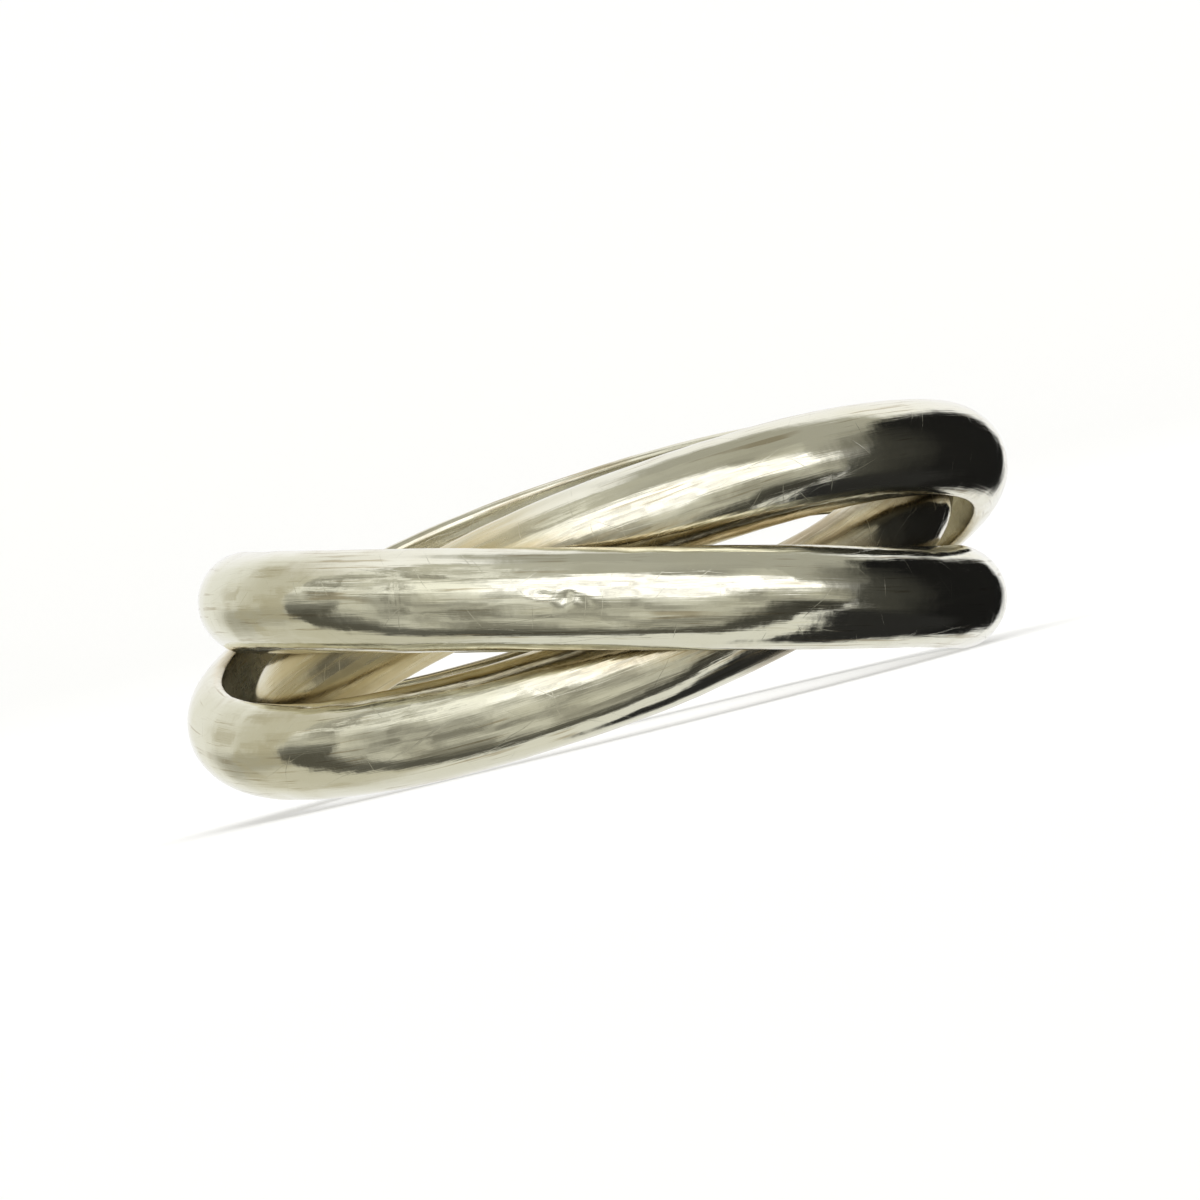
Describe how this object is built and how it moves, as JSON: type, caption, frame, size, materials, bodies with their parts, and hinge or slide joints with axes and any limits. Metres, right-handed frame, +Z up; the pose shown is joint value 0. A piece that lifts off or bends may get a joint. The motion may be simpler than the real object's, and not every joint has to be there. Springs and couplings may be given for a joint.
{
  "type": "rolling ring",
  "caption": "Rolling finger ring of interlinked polished half-round bands that turn through each other, fanned like a loose plait and lying on a surface.",
  "frame": {"origin": "on the surface that the ring lies on, below the middle of its finger hole", "axes": "+Z up along the finger hole, +X to the right and -Y towards the side on which band_front crosses over the two others"},
  "size_m": [0.0236, 0.0234, 0.0073],
  "materials": {
    "silver": "polished silver with light wear scratches and a faintly warm tone"
  },
  "bodies": {
    "front": {"band_front": "silver"},
    "right": {"band_right": "silver"},
    "left": {"band_left": "silver"}
  },
  "joints": [
    {"name": "right_spin", "type": "hinge", "parent": "front", "child": "right", "pos_m": [0.00082, 0.00047, 0.00366], "axis": [-0.1159, 0.2007, 0.9728], "continuous": true},
    {"name": "left_spin", "type": "hinge", "parent": "front", "child": "left", "pos_m": [-0.00082, 0.00047, 0.00366], "axis": [-0.1159, -0.2007, 0.9728], "continuous": true}
  ]
}
